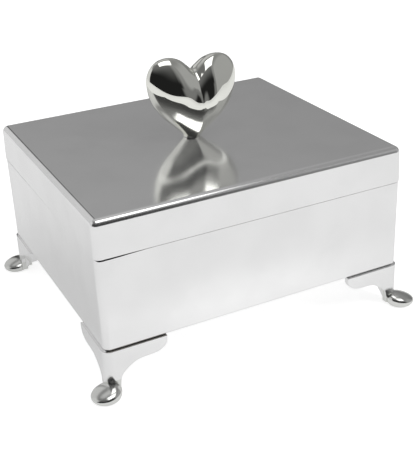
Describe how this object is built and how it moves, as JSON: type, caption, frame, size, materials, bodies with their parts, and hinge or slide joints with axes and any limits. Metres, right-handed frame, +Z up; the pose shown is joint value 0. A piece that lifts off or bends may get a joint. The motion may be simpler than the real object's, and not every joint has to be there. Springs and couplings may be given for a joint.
{
  "type": "heart jewelry box",
  "caption": "Rectangular plated metal trinket box with a back-hinged lid, a puffed heart finial, bracket feet on round pads and a velvet lining.",
  "frame": {"origin": "on the ground under the middle of the box's footprint", "axes": "+X along the long sides, -Y to the front, the hinge at +Y, +Z up"},
  "size_m": [0.1266, 0.1116, 0.0922],
  "materials": {
    "silver_plate": "polished silver plate with faint hairline wipe marks",
    "screw_steel": "plain turned steel",
    "velvet": "short-pile black velvet on card"
  },
  "bodies": {
    "case": {"body_shell": "silver_plate", "foot_front_left": "silver_plate", "foot_front_right": "silver_plate", "foot_back_left": "silver_plate", "foot_back_right": "silver_plate", "foot_screw_front_left": "screw_steel", "foot_screw_front_right": "screw_steel", "foot_screw_back_left": "screw_steel", "foot_screw_back_right": "screw_steel", "lining_floor": "velvet", "lining_front": "velvet", "lining_back": "velvet", "lining_left": "velvet", "lining_right": "velvet", "hinge_body_leaf": "silver_plate", "hinge_pin": "screw_steel"},
    "lid": {"lid_shell": "silver_plate", "lid_lining": "velvet", "heart_finial": "silver_plate", "finial_washer": "screw_steel", "finial_screw": "screw_steel", "hinge_lid_leaf": "silver_plate"}
  },
  "joints": [
    {"name": "lid_hinge", "type": "hinge", "parent": "case", "child": "lid", "pos_m": [0, 0.0516, 0.04915], "axis": [-1, 0, 0], "range_deg": [0, 100]}
  ]
}
